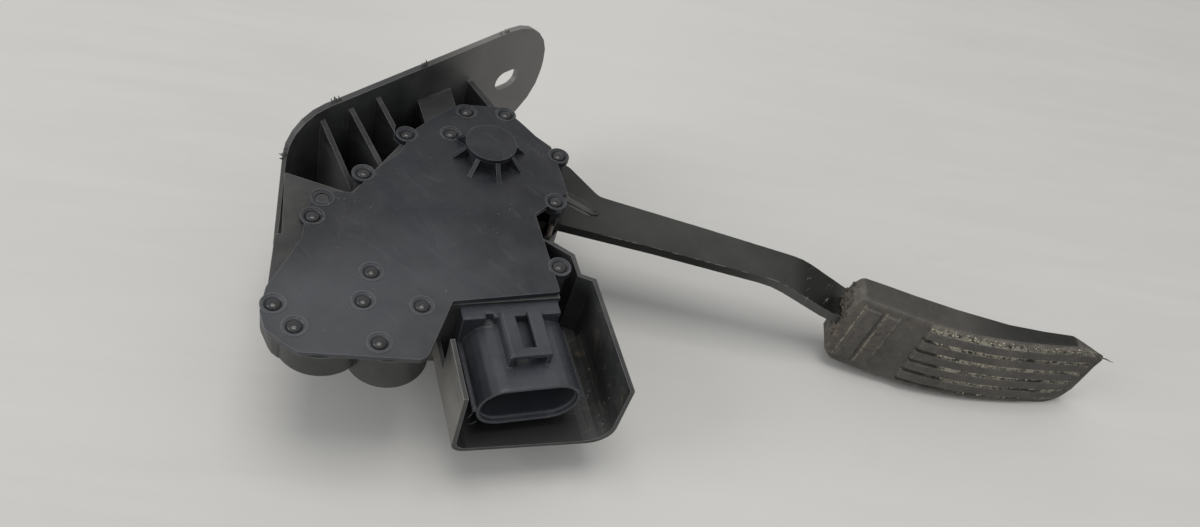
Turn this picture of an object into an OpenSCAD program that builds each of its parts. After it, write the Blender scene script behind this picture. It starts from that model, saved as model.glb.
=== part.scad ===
// Accelerator pedal with a moulded sensor housing, seen as it is bolted to the bulkhead.
// X runs along the pivot axis towards the side cover, -Y points at the driver and Z is up.
// The origin is midway between the two round bolt holes, on the back face of the flange.

/* [Mounting flange] */
// Thickness of the flange plate
flange_t = 2.4; // [2:0.1:4]
// Edge of the flange on the cover side, at the slotted lobe
flange_front_x = 66.9; // [64:0.1:70]
// Slant of that edge from the lobe to the upper end
flange_slant = 2.7; // [0:0.1:4]
// Edge of the flange on the far side, along the slotted lobe
flange_back_x = 11; // [8:0.5:13]
// Lower end of the flange, at the slotted lobe
flange_low = 94.6; // [90:0.1:98]
// Upper end of the flange
flange_high = 39.4; // [38:0.1:42]
// Corner radius at the upper end
flange_corner_r = 18; // [12:0.5:20]
// Distance between the two round bolt holes
bolt_spacing = 56; // [50:0.5:60]
// Diameter of a round bolt hole
bolt_hole_d = 9.2; // [8.5:0.1:10]
// Edge metal round a bolt hole, measured from its centre
bolt_ear_r = 14; // [12:0.5:16]
// Width of the slotted hole
slot_w = 9.5; // [8.5:0.1:10.5]
// Length of the slotted hole from end to end
slot_len = 13.2; // [11:0.1:16]
// Height of the slotted hole below the round ones' middle
slot_drop = 72; // [68:0.5:76]

/* [Housing] */
// Distance of the pivot axis in front of the flange's back face
pivot_out = 42.4; // [42:0.1:44]
// Depth of the pivot axis below the origin
pivot_drop = 23; // [21:0.5:25]
// Outer face of the side cover
cover_face_x = 51; // [50:0.5:53]
// Thickness of the side cover
cover_t = 2; // [1.6:0.1:2.4]
// Outer face of the housing's back
back_face_x = 16; // [14.5:0.5:16.5]
// Wall thickness of the housing
wall = 2.4; // [2:0.1:2.8]
// Depth of the left lobe under the cover
lobe_left_depth = 10; // [8:0.5:14]
// Depth of the right lobe under the cover
lobe_right_depth = 15; // [12:0.5:18]
// Thickness of the gusset ribs behind the flange
gusset_t = 2; // [1.5:0.1:3]
// Distance between the gusset ribs
gusset_pitch = 12.6; // [11:0.1:13]

/* [Heat stakes] */
// Diameter of a stake under its head
stake_d = 4.2; // [3.6:0.1:4.4]
// Hole in the cover round a stake
stake_hole_d = 4.8; // [4.6:0.1:5.2]
// Diameter of the domed head
stake_head_d = 4.6; // [4.2:0.1:4.8]
// Diameter of the raised ring round a stake
stake_ring_d = 8.6; // [8:0.1:9.4]
// Height of that ring
stake_ring_h = 0.25; // [0.1:0.05:0.6]
// Diameter of the boss below the cover
stake_boss_d = 6.6; // [6:0.1:7]

/* [Connector] */
// Width of the connector shell
shell_w = 36.8; // [34:0.2:37.4]
// Height of the connector shell
shell_h = 20.4; // [18:0.2:22]
// Wall of the connector shell
shell_wall = 1.6; // [1.3:0.1:2]
// Length of the shell from the housing wall to its mouth
shell_len = 33; // [30:0.5:34]
// Depth of the shroud trough from the housing wall
shroud_len = 37.6; // [34:0.2:40]
// Extra length of the trough on its right side
shroud_slant = 3.8; // [0:0.2:6]
// Wall of the shroud
shroud_wall = 1.6; // [1.4:0.1:2.4]
// Length of the notch in the trough's left wall, next to the housing
shroud_notch = 14; // [10:0.5:18]
// Width of a terminal blade
terminal_w = 1.5; // [1:0.1:2]

/* [Pivot] */
// Diameter of the pivot shaft
shaft_d = 8; // [7:0.5:8.5]
// Outer diameter of the two shaft bushes
bush_d = 11; // [10.5:0.1:11.4]
// Length of a shaft bush
bush_len = 5.5; // [4.5:0.5:6]
// Radial running clearance between shaft and bush
run_gap = 0.05; // [0.03:0.01:0.08]
// Radius of the pedal hub
hub_r = 13.4; // [12.5:0.1:13.6]
// Radius from the pivot to the spring pins
spring_arm = 25; // [24:0.5:26]
// Wire diameter of a return spring
spring_wire = 1.3; // [1:0.1:1.4]
// Mean radius of a return spring
spring_r = 3; // [2.6:0.1:3.1]
// Number of turns of a return spring
spring_turns = 17; // [12:1:20]

/* [Pedal arm] */
// Thickness of the steel arm
arm_t = 4; // [3.5:0.5:6]
// Near face of the arm
arm_face_x = 36.4; // [35.5:0.1:37]
// Sideways step of the arm before the pad
arm_step = 11.7; // [8:0.1:14]
// Distance from the pivot to the start of the step
step_start = 132; // [124:1:134]
// Slant of the step's creases across the arm in degrees
step_slant = 32; // [0:1:36]
// Length of the step along the arm
step_run = 28; // [24:1:34]
// Angle of the arm below the housing's long edge
arm_angle = 23.5; // [22:0.5:25]
// Travel of the pedal in degrees
pedal_travel = 18; // [12:1:18]

/* [Pad] */
// Distance from the pivot to the near end of the pad
pad_start = 162; // [158:1:168]
// Length of the pad
pad_len = 106; // [96:1:112]
// Width of the pad across the foot
pad_w = 36.5; // [33:0.5:42]
// Thickness of the pad at its thickest place
pad_t = 20.2; // [18:0.1:21]
// Thickness of the rubber over the steel plate
pad_skin = 4.5; // [3.5:0.5:5]
// Thickness of the steel plate in the pad
pad_plate_t = 2; // [1.5:0.1:2.5]
// Offset of the pad's middle from the arm's foot, along the pivot axis
pad_shift = -1; // [-2:0.1:2]
// Number of long ribs on the pad's face
pad_ribs = 6; // [4:1:7]
// Width of the grooves between the ribs
pad_groove = 1.4; // [1:0.1:2]
// Height of the ribs on the pad's face
pad_rib_h = 1.2; // [0.8:0.1:1.6]

/* [Hidden] */

$fn = 48;
eps = 0.01;
body_lean = 120;
fit_gap = 0.15;
seat_gap = 0.1;
rest_gap = 0.05;

pivot_y = -pivot_out;
pivot_z = -pivot_drop;
rim_x = cover_face_x - cover_t;
floor_x = back_face_x + wall;
slot_x = 39.5;
arm_back_x = arm_face_x - arm_t;
// Distance from the pivot to the flange's near face
flange_reach = pivot_out - flange_t;

housing_colour = [0.20, 0.205, 0.22];
cover_colour = [0.24, 0.245, 0.265];
shell_colour = [0.23, 0.235, 0.255];
arm_colour = [0.19, 0.20, 0.19];
rubber_colour = [0.25, 0.24, 0.225];
steel_colour = [0.62, 0.62, 0.60];
rust_colour = [0.36, 0.27, 0.21];
brass_colour = [0.72, 0.60, 0.36];
board_colour = [0.12, 0.33, 0.20];

// Unit vector and corner rounding for outlines written as [x, y, corner radius].
function unit(v) = v / norm(v);
function xy(p) = [p[0], p[1]];
function wrap(a) = a > 180 ? a - 360 : a < -180 ? a + 360 : a;
function corner_arc(a, b, c, r) =
  let (u = unit(a - b), w = unit(c - b), half = acos(u * w) / 2)
  r <= 0 || half > 89 ? [b] :
  let (m = b + unit(u + w) * r / sin(half),
       p = b + u * r / tan(half),
       q = b + w * r / tan(half),
       a0 = atan2(p[1] - m[1], p[0] - m[0]),
       turn = wrap(atan2(q[1] - m[1], q[0] - m[0]) - a0),
       n = max(2, ceil(abs(turn) / 18)))
  [for (i = [0:n]) m + r * [cos(a0 + turn * i / n), sin(a0 + turn * i / n)]];
function outline(c) = [for (i = [0:len(c) - 1])
  each corner_arc(xy(c[(i + len(c) - 1) % len(c)]), xy(c[i]), xy(c[(i + 1) % len(c)]), c[i][2])];
// The same outline moved inwards by d; the corners run anticlockwise.
function inset(c, d) = [for (i = [0:len(c) - 1])
  let (p = xy(c[(i + len(c) - 1) % len(c)]), q = xy(c[i]), s = xy(c[(i + 1) % len(c)]),
       u = unit(q - p), w = unit(s - q), nu = [-u[1], u[0]], nw = [-w[1], w[0]],
       left = u[0] * w[1] - u[1] * w[0] > 0,
       m = q + (nu + nw) * d / (1 + nu * nw))
  [m[0], m[1], left ? max(0, c[i][2] - d) : c[i][2] + d]];

// Side view of the pedal from the cover side, drawn round the pivot: x runs down along the
// housing, y points at the bulkhead and heights are measured along the row's X axis.
module at_pivot() {
  translate([0, pivot_y, pivot_z]) rotate([-body_lean, 0, 0]) rotate([90, 0, 90]) children();
}
// Along the arm: x runs from the pivot to the pad.
module along_arm() { at_pivot() rotate([0, 0, -arm_angle]) children(); }
module slab(x0, x1) { translate([0, 0, x0]) linear_extrude(x1 - x0) children(); }
// A profile drawn as [across, height] and run along the connector, from y0 up to y1.
module run_up(y0, y1) { translate([0, y1, 0]) rotate([90, 0, 0]) linear_extrude(y1 - y0) children(); }
// A drawing in the flange plane as [X, Z], given its depth along Y.
module on_flange(y0, y1) { translate([0, y1, 0]) rotate([90, 0, 0]) linear_extrude(y1 - y0) children(); }
module slot_shape(w, l) {
  for (s = [-1, 1]) translate([0, s * (l - w) / 2]) circle(d = w);
  square([w, l - w], center = true);
}

// Places of the heat stakes in the side view, and the height where each boss starts.
stakes = [
  [-30, 12, floor_x], [-12.7, 12.2, floor_x], [-4, 25, floor_x], [12.1, 23.5, floor_x],
  [28.7, -0.8, arm_face_x + 1.8], [21.1, -25.6, rim_x - 5], [14.4, -57.5, floor_x],
  [-49, -8.6, floor_x], [-69, -29.1, floor_x], [-52.3, -55.3, floor_x],
  [-56.6, -67.4, rim_x - lobe_right_depth + 1], [-37.7, -71, rim_x - lobe_right_depth + 1],
  [-53.6, -84.6, rim_x - lobe_right_depth + 1], [-84.7, -66.3, rim_x - lobe_left_depth + 1],
  [-79, -75.7, rim_x - lobe_left_depth + 1]];
locating_pin = [-64.8, -20.5];

// Deep part of the housing, anticlockwise.
deep_corners = [
  [-30.3, -70, 0], [22.6, -70, 0], [22.6, -50.5, 1], [13.4, -41.4, 1], [20, -30, 2],
  [28, -22, 3], [28, 2, 4], [22.4, 9.6, 3], [18.6, 17.5, 3], [12, 27.5, 4], [-8, 29, 4],
  [-19, 21, 3], [-33, 8, 3], [-45, -6, 3], [-54.5, -17, 2], [-76.3, -5.7, 0.5],
  [-79.8, -36, 2], [-64, -64, 6]];
// Shallow part at the upper end, which bulges into two lobes.
shallow_corners = [
  [-33, -69.5, 0], [-30, -66, 0], [-70, -30, 0], [-78, -34.9, 0], [-81.8, -34.9, 0.5],
  [-85.6, -56.5, 4], [-89, -66.5, 6], [-85.5, -80, 8], [-70, -82, 0], [-60, -84, 2],
  [-52, -82, 0], [-40, -88, 6]];
left_lobe = [-70, -72.4, 15.2];
right_lobe = [-49, -77.2, 14];

cover_corners = [
  [-27, -69.9, 1], [11.7, -68.9, 1], [11.5, -31.6, 1.5], [17.1, -27.8, 2], [27, -21, 2],
  [27.3, -10, 2], [26.8, 4.5, 2], [22, 10.5, 2], [18.2, 17.5, 2], [12, 27.8, 4],
  [-6, 29.3, 4], [-18, 21.5, 2], [-26, 15, 2], [-34, 2, 1], [-41.4, -4, 1],
  [-54, -18.4, 1.5], [-60, -17.4, 3], [-66.5, -16.6, 3.5], [-70.6, -25, 2], [-73.5, -39, 2],
  [-78, -46.3, 2], [-86.4, -59.2, 3], [-89, -68.6, 4], [-88, -76, 5], [-84, -80.8, 4],
  [-78.6, -85.8, 4], [-62.6, -88.6, 3], [-39.8, -92.8, 4], [-32.9, -80.5, 1]];
// Stakes at the cover's edge stand in round tabs.
tabs = [0, 2, 3, 4, 5, 6, 7, 8];

shell_mid_a = -4.3;
// Free space between the trough's floor and the shell
shell_floor_gap = 5.7;
shell_mid_x = back_face_x + shroud_wall + shell_floor_gap + shell_h / 2;
shell_base_b = -70;
shroud_left = -30.3;
shroud_right = 27.7;

// The walls of the shroud as a trough, drawn across the connector.
module trough(d) {
  polygon(outline([
    [shroud_left + d, rim_x + 10 * d, 0], [shroud_left + d, back_face_x + d, 5 - d / 2],
    [shroud_right - d, back_face_x + d, 9], [shroud_right - d, rim_x + 10 * d, 0]]));
}
module shroud() {
  mouth_b = shell_base_b - shroud_len;
  difference() {
    run_up(mouth_b - shroud_slant - 1, shell_base_b + 1) difference() {
      trough(0);
      trough(shroud_wall);
    }
    // The mouth is cut on the slant
    slab(back_face_x - 1, rim_x + 1) polygon([
      [shroud_left - 1, mouth_b], [shroud_right + 1, mouth_b - shroud_slant],
      [shroud_right + 1, mouth_b - 20], [shroud_left - 1, mouth_b - 20]]);
    // Notch in the left wall beside the housing
    slab(back_face_x + 14, rim_x + 1) polygon([
      [shroud_left - 1, shell_base_b - shroud_notch], [shroud_left + 5, shell_base_b - shroud_notch],
      [shroud_left + 5, shell_base_b], [shroud_left - 1, shell_base_b]]);
  }
}
// The channel beside the circuit's space, which opens into the trough.
channel_left = 11.8;
channel_step = [-59.8, -62.6];
module channel_block() {
  slab(back_face_x, rim_x) polygon([
    [18, shell_base_b - 0.5], [shroud_right, shell_base_b - 0.5], [shroud_right, channel_step[1]],
    [22.6, channel_step[0]], [18, channel_step[0]]]);
}
module channel_space() {
  w = shroud_wall;
  slab(floor_x, rim_x + 1) polygon([
    [channel_left, shell_base_b - 3], [shroud_right - w, shell_base_b - 3],
    [shroud_right - w, channel_step[1] - 0.9], [22.6 - w, channel_step[0] - 0.9], [22.6 - w, -51.2],
    [13.4 - w / 2, -43.2], [channel_left, -43.2]]);
}
module channel_wall() {
  slab(floor_x - 0.5, rim_x) polygon([
    [channel_left - wall, shell_base_b + 0.5], [channel_left, shell_base_b],
    [channel_left, -42], [channel_left - wall, -42]]);
}

module deep_box() {
  difference() {
    union() {
      slab(back_face_x, rim_x) polygon(outline(deep_corners));
      channel_block();
    }
    slab(floor_x, rim_x + 1) polygon(outline(inset(deep_corners, wall)));
    channel_space();
  }
  channel_wall();
}
module lobes() {
  left_x = rim_x - lobe_left_depth;
  right_x = rim_x - lobe_right_depth;
  difference() {
    union() {
      slab(left_x, rim_x) polygon(outline(shallow_corners));
      slab(left_x, rim_x) translate(xy(left_lobe)) circle(left_lobe[2]);
      slab(right_x, rim_x) translate(xy(right_lobe)) circle(right_lobe[2]);
    }
    slab(left_x + wall, rim_x + 1) polygon(outline(inset(shallow_corners, wall)));
    slab(left_x + wall, rim_x + 1) translate(xy(left_lobe)) circle(left_lobe[2] - wall);
    slab(right_x + wall, rim_x + 1) translate(xy(right_lobe)) circle(right_lobe[2] - wall);
    slab(floor_x, rim_x + 1) polygon(outline(inset(deep_corners, wall)));
  }
}

module flange_plate() {
  on_flange(-flange_t, 0) difference() {
    polygon(outline([
      [flange_front_x - flange_slant, flange_high, flange_corner_r],
      [flange_front_x + 0.4, -flange_low, 25], [flange_back_x, -flange_low, 26],
      [flange_back_x, -bolt_spacing / 2 - bolt_ear_r - 3, 8],
      [-bolt_ear_r, -bolt_spacing / 2 - bolt_ear_r, bolt_ear_r - 1],
      [-bolt_ear_r, flange_high + 5.6, bolt_ear_r - 1]]));
    for (s = [-1, 1]) translate([0, s * bolt_spacing / 2]) circle(d = bolt_hole_d);
    translate([slot_x, -slot_drop]) slot_shape(slot_w, slot_len);
  }
}

// Floor and webs that carry the flange on the housing, in the side view.
module flange_neck() {
  r = flange_reach + 0.5;
  // Points on the flange plane at a height u along it
  function on_plane(u) = [-r * cos(60) + u * sin(60), r * sin(60) + u * cos(60)];
  slab(back_face_x, floor_x) polygon([
    [-76, -8], on_plane(-61.5), on_plane(26), [12, 24], [-8, 26], [-33, 6], [-54, -16]]);
  // Flush plate beside the slot, with the web under its edge
  slab(rim_x - 3, rim_x) polygon([
    [-21, 17], on_plane(-2), on_plane(15), [-7, 27], [-18, 21]]);
  slab(back_face_x, rim_x - 1) polygon([
    [-19, 19], on_plane(-2), on_plane(0.2), [-17, 20.5]]);
  slab(back_face_x, rim_x) polygon([
    [8, 27], on_plane(24), on_plane(26.4), [11, 27]]);
}
// Rim plate that closes the housing beside the cover, on the flange's upper end.
module rim_plate() {
  slab(rim_x - wall, rim_x) intersection() {
    union() {
      polygon(outline(deep_corners));
      polygon(outline(shallow_corners));
    }
    polygon([
      [-90, 0], [-50, 0], [-52, -17], [-58, -22], [-66, -26], [-69.5, -38], [-77, -50], [-84, -58],
      [-90, -58]]);
  }
}
gusset_top = [rim_x - 13, rim_x - 3, rim_x];
gusset_reach = [25.3, 20.9, 16.9];
module gussets() difference() {
  for (i = [0:2])
    translate([0, 0, 25.4 - i * gusset_pitch]) linear_extrude(gusset_t, center = true)
      polygon([
        [back_face_x, 0.5 - flange_t], [flange_front_x - 7, 0.5 - flange_t],
        [gusset_top[i], -flange_t - gusset_reach[i]], [back_face_x, -flange_t - gusset_reach[i]]]);
  // Room for the cover's tab beside the last rib
  at_pivot() slab(rim_x - 0.3, flange_front_x) translate(xy(stakes[0])) circle(d = stake_ring_d + 0.8);
}

module stake_post(s) {
  translate([s[0], s[1], s[2] - 0.6]) cylinder(d = stake_boss_d, h = rim_x - s[2] + 0.6);
  translate([s[0], s[1], rim_x - 0.5]) cylinder(d = stake_d, h = cover_t + 0.2);
  translate([s[0], s[1], cover_face_x - 0.35]) stake_head();
}
// Domed head that the hot tool leaves, with the small pip at its middle.
module stake_head() {
  r = stake_head_d / 2;
  rotate_extrude() polygon(concat(
    [[0, -0.3], [r, -0.3]],
    [for (k = [0:5]) [r * cos(k * 15), 1.1 * sin(k * 15)]],
    [[0, 1.1]]));
}

// Way of the arm through the housing's side, open over the pedal's travel.
module arm_way() {
  slab(arm_back_x - 1.6, arm_face_x + 1.8) polygon(concat(
    [[8, -14]], [for (k = [-56:8:48]) 48 * [cos(k), sin(k)]], [[8, 14]]));
}

module housing() {
  color(housing_colour) {
    flange_plate();
    gussets();
    at_pivot() difference() {
      union() {
        deep_box();
        lobes();
        rim_plate();
        shroud();
        flange_neck();
        for (s = stakes) stake_post(s);
        translate([locating_pin[0], locating_pin[1], floor_x])
          cylinder(d = stake_boss_d, h = rim_x - floor_x);
        translate([locating_pin[0], locating_pin[1], rim_x - 0.5])
          cylinder(d = stake_d, h = cover_t + 0.1);
        translate([0, 0, back_face_x]) cylinder(r = bush_d / 2 + 3, h = bush_len + 0.5);
        spring_seat_boss();
        bumper_post();
      }
      arm_way();
      // Open side below the arm, down to the floor
      slab(floor_x, rim_x + 1) polygon([[8, -40], [15.5, -44], [24, -27.5], [17, -23]]);
      // Window for the connector
      connector_window();
      translate([0, 0, back_face_x - 1]) cylinder(d = bush_d, h = bush_len + 4);
      spring_pin_bores();
      stop_pin_bore();
    }
  }
}

// Springs lie along Z, one on each side of the arm.
spring_levels = [(floor_x + arm_back_x) / 2, arm_face_x + 5];
// The upper pin stands below the boss of the stake above it.
anchor_clear = 13;
spring_span = -stakes[9][0] * sin(60) - stakes[9][1] * cos(60) - anchor_clear;
lug_at = spring_arm * [cos(-60), sin(-60)];
anchor_at = lug_at + spring_span * [-sin(60), -cos(60)];
pin_r = 1.5;
module spring_seat_boss() {
  translate([anchor_at[0], anchor_at[1], floor_x - 0.5]) cylinder(r = 4.2, h = 1.6);
}
module spring_pin_bores() {
  translate([anchor_at[0], anchor_at[1], back_face_x - 1]) cylinder(r = pin_r, h = 60);
}
module spring_anchors() {
  color(steel_colour) at_pivot() {
    translate([anchor_at[0], anchor_at[1], back_face_x + 0.4])
      cylinder(r = pin_r, h = spring_levels[1] + 3 - back_face_x - 0.4);
    translate([anchor_at[0], anchor_at[1], floor_x + 1.1]) cylinder(r = 3.6, h = 0.8);
  }
}

// The arm's lower edge rests on the stop pin, which is placed from that edge.
root_low = [14, -15];
root_mid = [34, -11.7];
root_top = [17, 19];
root_back = [-12.4, 11.4];
stop_r = 1.2;
stop_along = 30.6;
function turned(p, a) = [p[0] * cos(a) - p[1] * sin(a), p[0] * sin(a) + p[1] * cos(a)];
edge_way = unit(root_mid - root_low);
edge_at_stop = root_low + edge_way * (stop_along - root_low[0]) / edge_way[0];
stop_at = turned(edge_at_stop + [edge_way[1], -edge_way[0]] * (stop_r + rest_gap), -arm_angle);
module stop_pin_bore() {
  translate([stop_at[0], stop_at[1], back_face_x + 0.8]) cylinder(r = stop_r, h = rim_x - back_face_x - 3);
}
module stop_pin() {
  color(rust_colour) at_pivot() translate([stop_at[0], stop_at[1], back_face_x + 0.8])
    cylinder(r = stop_r, h = rim_x - back_face_x - 3);
}

module connector_window() {
  translate([shell_mid_a, shell_base_b - 0.5, shell_mid_x])
    cube_centred(shell_w - 4 + 2 * fit_gap, wall + 2, shell_h - 6 + 2 * fit_gap);
}
module cube_centred(a, b, h) { translate([-a / 2, 0, -h / 2]) cube([a, b, h]); }

// Oval section of the connector, drawn across it and grown by d.
module oval(d) {
  r = shell_h / 2 - 0.6 + d;
  polygon(outline([
    [-shell_w / 2 - d, -shell_h / 2 - d, r], [shell_w / 2 + d, -shell_h / 2 - d, r],
    [shell_w / 2 + d, shell_h / 2 + d, r], [-shell_w / 2 - d, shell_h / 2 + d, r]]));
}
terminal_cols = [-7.5, 0, 7.5];
terminal_rows = [-4.5, 4.5];
module connector_shell() {
  color(shell_colour) at_pivot() difference() {
    translate([shell_mid_a, 0, shell_mid_x]) union() {
      run_up(shell_base_b - shell_len, shell_base_b - 3) difference() {
        oval(0);
        oval(-shell_wall);
      }
      run_up(shell_base_b - 9, shell_base_b - 5.6) oval(-shell_wall / 2);
      // Stepped base against the housing wall, and the plug through its window
      run_up(shell_base_b - base_len, shell_base_b) polygon([
        [base_left, 1 - shell_h / 2], [base_right, 1 - shell_h / 2], [base_right, base_top], [base_left, base_top]]);
      run_up(shell_base_b - 1, shell_base_b + wall + 0.1) square([shell_w - 4, shell_h - 6], center = true);
      // Thin webs along both flanks
      for (s = [-1, 1]) run_up(shell_base_b - shell_len, shell_base_b - 4)
        translate([s * (shell_w / 2 + 0.4), 0]) square([2, 1.2], center = true);
      latch_bridge();
    }
    // Wider lead-in at the mouth, and the small notch in the base
    translate([shell_mid_a, 0, shell_mid_x]) {
      run_up(shell_base_b - shell_len - 1, shell_base_b - shell_len + 1.8) oval(-shell_wall + 0.6);
      translate([base_left + 8, shell_base_b - base_len - 1, shell_h / 2 + 0.4]) cube([3, 2.8, 6]);
    }
    for (c = terminal_cols, r = terminal_rows)
      translate([shell_mid_a + c, 0, shell_mid_x + r])
        run_up(shell_base_b - 20, shell_base_b + 8) square([terminal_w, 0.8], center = true);
  }
}
// Base block between the shell and the housing wall, measured from the shell's middle
base_len = 5.6;
base_left = -19.8;
base_right = 15.2;
base_top = shell_h / 2 + 4;
// Bridge over the shell that the plug's latch snaps under.
bridge_w = 15;
bridge_len = 19;
bridge_rise = 6.2;
bridge_slot = 5;
module latch_bridge() {
  top = shell_h / 2 + bridge_rise;
  h = bridge_w / 2;
  front = shell_base_b - 4.8 - bridge_len;
  difference() {
    run_up(front, front + bridge_len) polygon([
      [-h, shell_h / 2 - 1], [-h, top - 1], [1 - h, top], [h - 0.5, top], [h, top - 0.5],
      [h, shell_h / 2 - 1], [h - 1.6, shell_h / 2 - 1], [h - 1.6, top - 2], [1.6 - h, top - 2],
      [1.6 - h, shell_h / 2 - 1]]);
    translate([-bridge_slot / 2, front + 3.2, top - 3]) cube([bridge_slot, bridge_len, 4]);
  }
}
// Blades stand in the socket, pass through its floor and turn up to the board.
board_x = rim_x - 2.9;
board_t = 1.6;
module terminals() {
  color(brass_colour) at_pivot() for (c = terminal_cols, i = [0, 1]) {
    a = shell_mid_a + c;
    h = shell_mid_x + terminal_rows[i];
    leg_b = shell_base_b + 11 - i * 4;
    translate([a, 0, h]) run_up(shell_base_b - 24, leg_b) square([terminal_w, 0.8], center = true);
    translate([a - 0.4, leg_b - 0.8, h - 0.4]) cube([0.8, 0.8, board_x + board_t + 0.8 - h + 0.4]);
  }
}
board_corners = [
  [-18, -63, 1], [7, -63, 1], [7, -30, 3], [9.5, -16, 3], [9.5, 0, 2], [9.5, 11, 2],
  [-7, 11, 2], [-10, 0, 2], [-10, -24, 3], [-18, -34, 2]];
module circuit_board() {
  color(board_colour) at_pivot() difference() {
    slab(board_x, board_x + board_t) polygon(outline(board_corners));
    translate([0, 0, board_x - 1]) cylinder(r = 9.2, h = 4);
    for (c = terminal_cols, i = [0, 1])
      translate([shell_mid_a + c, shell_base_b + 6.6 + i * 4, board_x - 1]) cylinder(r = 0.65, h = 4);
  }
}
magnet_r = 10.7;
sensor_t = 1.1;
module hall_sensor() {
  color([0.1, 0.1, 0.11]) at_pivot()
    translate([-2.2, -magnet_r - 2.6, board_x - sensor_t]) cube([4.4, 4.4, sensor_t]);
}
hub_top = 43;
hub_low = floor_x + 4.8;
magnet_t = 1.5;
module magnet() {
  color([0.3, 0.3, 0.32]) at_pivot() translate([0, 0, hub_top])
    rotate([0, 0, -130]) rotate_extrude(angle = 80)
      translate([magnet_r - 1.5, 0]) square([3, magnet_t]);
}

cap_r = 9.9;
drum_r = 8.5;
cap_top = cover_face_x + 6.8;
cap_rib_reach = 15.5;
module side_cover() {
  color(cover_colour) at_pivot() difference() {
    union() {
      slab(rim_x, cover_face_x) {
        polygon(outline(cover_corners));
        for (i = tabs) translate([stakes[i][0], stakes[i][1]]) circle(d = stake_ring_d);
      }
      for (s = stakes) stake_ring(s);
      stake_ring(locating_pin);
      pivot_boss();
    }
    for (s = stakes) translate([s[0], s[1], rim_x - 1]) {
      cylinder(d = stake_hole_d, h = cover_t + 4);
      translate([0, 0, cover_t + 0.4]) cylinder(d1 = stake_hole_d, d2 = stake_ring_d - 2, h = 0.8);
    }
    translate([locating_pin[0], locating_pin[1], rim_x - 1]) cylinder(d = stake_hole_d, h = cover_t + 4);
    translate([0, 0, rim_x - 4]) cylinder(d = bush_d, h = bush_len + 4);
    translate([0, 0, rim_x - 4]) cylinder(r = shaft_d / 2 + 0.8, h = bush_len + 6);
  }
}
module stake_ring(s) {
  translate([s[0], s[1], cover_face_x - 0.3]) difference() {
    cylinder(d = stake_ring_d - 0.2, h = 0.3 + stake_ring_h);
    translate([0, 0, -1]) cylinder(d = stake_ring_d - 1.2, h = 3);
  }
}
// Drum over the shaft end with its overhanging cap and the sloping ribs round it.
module pivot_boss() {
  translate([0, 0, rim_x - 2.6]) cylinder(r = drum_r - 0.3, h = 3);
  translate([0, 0, cover_face_x - 0.5]) cylinder(r = drum_r, h = cap_top - cover_face_x - 1);
  translate([0, 0, cap_top - 1.8]) cylinder(r = cap_r, h = 1.8);
  for (k = [0:7]) rotate([0, 0, 4 + 45 * k]) rotate([90, 0, 0])
    linear_extrude(1.7, center = true) polygon([
      [drum_r - 1, cover_face_x - 0.4], [cap_rib_reach, cover_face_x - 0.4],
      [cap_r - 0.5, cap_top - 1.2], [drum_r - 1, cap_top - 1.2]]);
}

module bush(x0) {
  at_pivot() translate([0, 0, x0]) difference() {
    cylinder(d = bush_d, h = bush_len);
    translate([0, 0, -1]) cylinder(r = shaft_d / 2 + run_gap, h = bush_len + 2);
  }
}
module cover_bush() { color(brass_colour) bush(rim_x - 0.2); }
module back_bush() { color(brass_colour) bush(back_face_x + 0.6); }

module pivot_shaft() {
  color(steel_colour) at_pivot() translate([0, 0, back_face_x + 0.3])
    cylinder(d = shaft_d, h = rim_x + bush_len + 0.6 - back_face_x);
}

module friction_washer() {
  color([0.45, 0.33, 0.22]) at_pivot() translate([0, 0, back_face_x + bush_len + 0.6]) difference() {
    cylinder(r = 11, h = hub_low - back_face_x - bush_len - 0.6 - seat_gap);
    translate([0, 0, -1]) cylinder(r = shaft_d / 2 + 0.5, h = 6);
  }
}
// Dished washer that loads the hub against the friction washer.
module wave_washer() {
  x0 = hub_top + 0.9 + seat_gap;
  x1 = rim_x - 2.6 - seat_gap;
  color(steel_colour) at_pivot() rotate_extrude() polygon([
    [shaft_d / 2 + 0.5, x0], [shaft_d / 2 + 1.2, x0], [8, x1 - 0.7], [8, x1], [7.3, x1],
    [shaft_d / 2 + 0.5, x0 + 0.7]]);
}

// Flange of the hub, with the lug that holds a spring's pin.
module hub_disc(x0, x1) {
  slab(x0, x1) {
    circle(hub_r);
    polygon([
      [-3, -12], [lug_at[0] - 4, lug_at[1] + 1], [lug_at[0] + 3.6, lug_at[1] - 1.2], [12, -5]]);
    translate(lug_at) circle(4);
  }
}
module spring_pin(x0, x1) { translate([lug_at[0], lug_at[1], x0]) cylinder(r = pin_r, h = x1 - x0); }
module arm_hub() {
  color([0.14, 0.14, 0.15]) at_pivot() difference() {
    union() {
      slab(hub_low, arm_back_x) circle(hub_r);
      hub_disc(arm_back_x - 2.4, arm_back_x);
      slab(arm_back_x - 1, arm_face_x + 1) circle(tube_r);
      hub_disc(arm_face_x, arm_face_x + 2.2);
      slab(arm_face_x, hub_top) circle(hub_r);
      slab(hub_top - 1, hub_top + 0.9) circle(7);
      spring_pin(spring_levels[0] - 2.8, arm_back_x - 1);
      spring_pin(arm_face_x + 1, spring_levels[1] + 2.8);
    }
    translate([0, 0, hub_low - 1]) cylinder(d = shaft_d, h = 40);
    for (k = rivet_angles) rotate([0, 0, k]) translate([rivet_r, 0, hub_low - 1]) cylinder(d = rivet_d, h = 40);
    translate([0, 0, hub_top]) rotate([0, 0, -130]) rotate_extrude(angle = 80)
      translate([magnet_r - 1.5, 0]) square([3, 3]);
  }
}
tube_r = 7;
rivet_r = 10.2;
rivet_d = 3.2;
rivet_angles = [60, 150, 195];
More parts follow.
